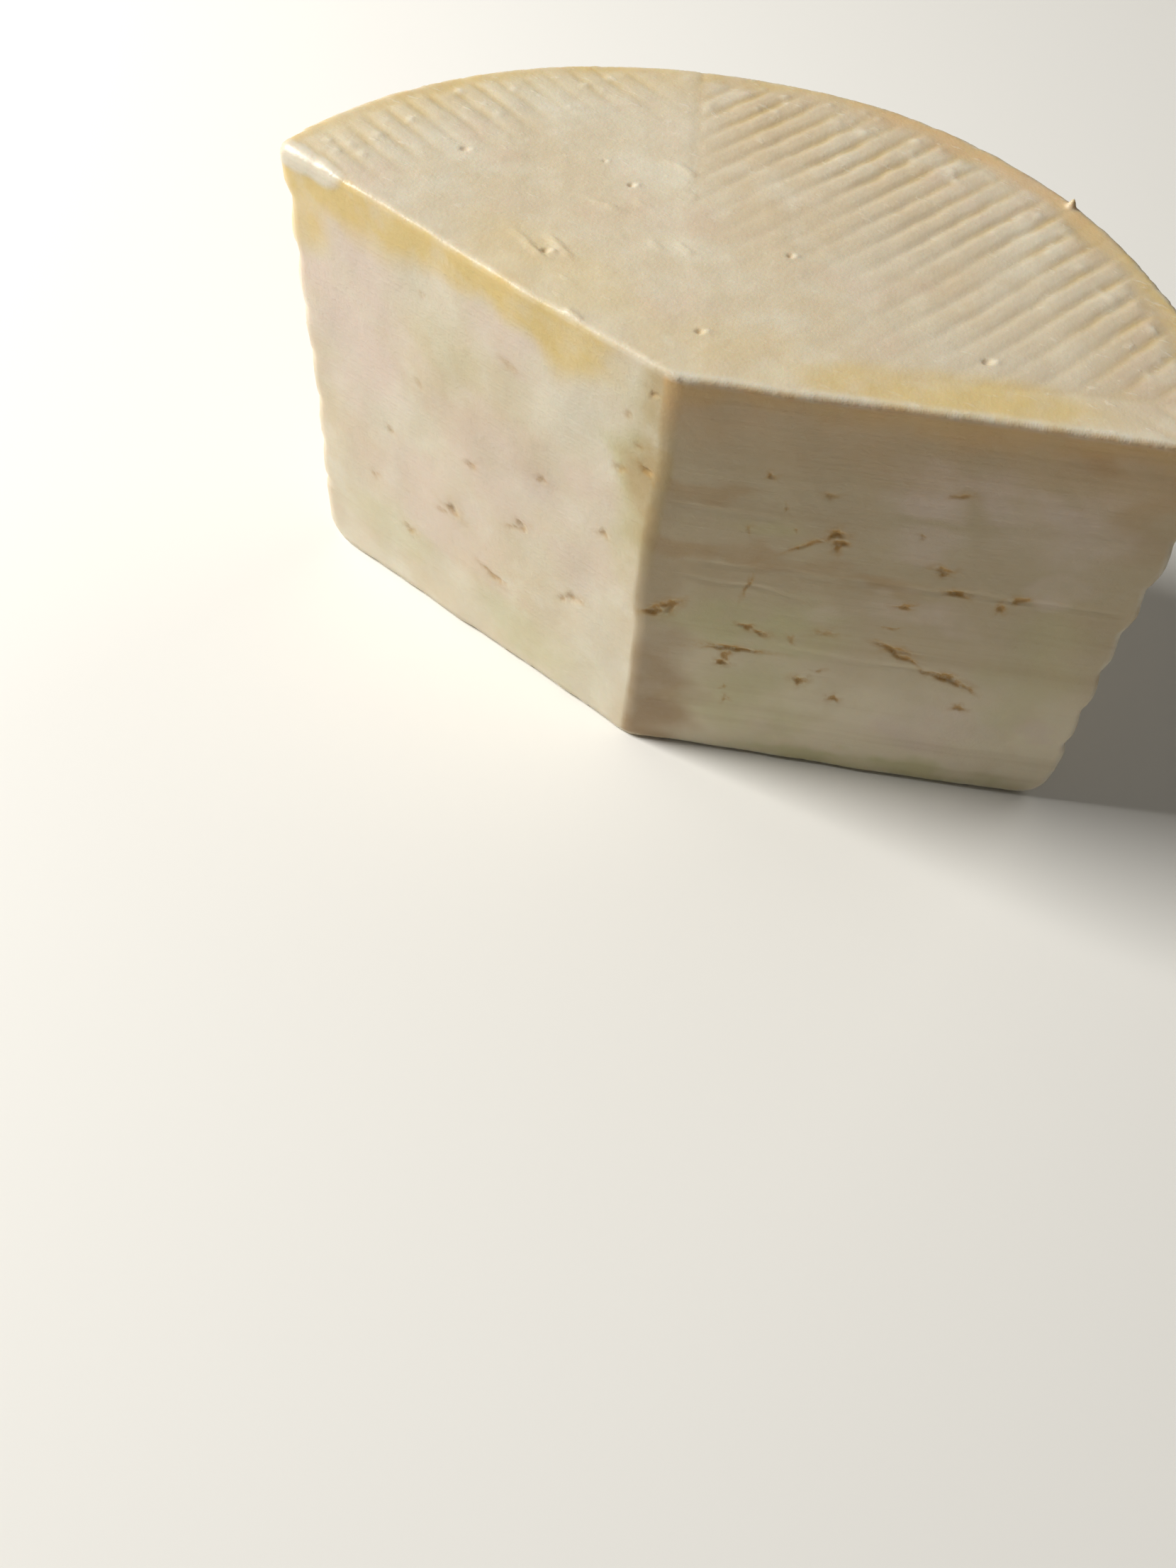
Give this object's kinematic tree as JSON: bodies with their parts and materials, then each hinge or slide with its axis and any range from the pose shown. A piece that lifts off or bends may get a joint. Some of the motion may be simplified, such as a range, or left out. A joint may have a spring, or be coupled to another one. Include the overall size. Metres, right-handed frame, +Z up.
{
  "type": "cut cheese wheel",
  "caption": "Wide piece cut from a basket-moulded wheel of fresh pale cheese, with a ringed rind, a ribbed top and scattered eyes in its two cut faces.",
  "frame": {"origin": "on the base plane, under the middle of the piece's bounding box", "axes": "+Z up from the base to the ribbed top; +Y from the tip where the cuts meet to the middle of the rind; +X along the widest extent, to the right seen from the tip"},
  "size_m": [0.2148, 0.1166, 0.12],
  "materials": {
    "cheese": "moist pale fresh cheese, slightly oily, yellower under the rind"
  },
  "bodies": {
    "root": {"cheese_wheel": "cheese"}
  },
  "joints": []
}
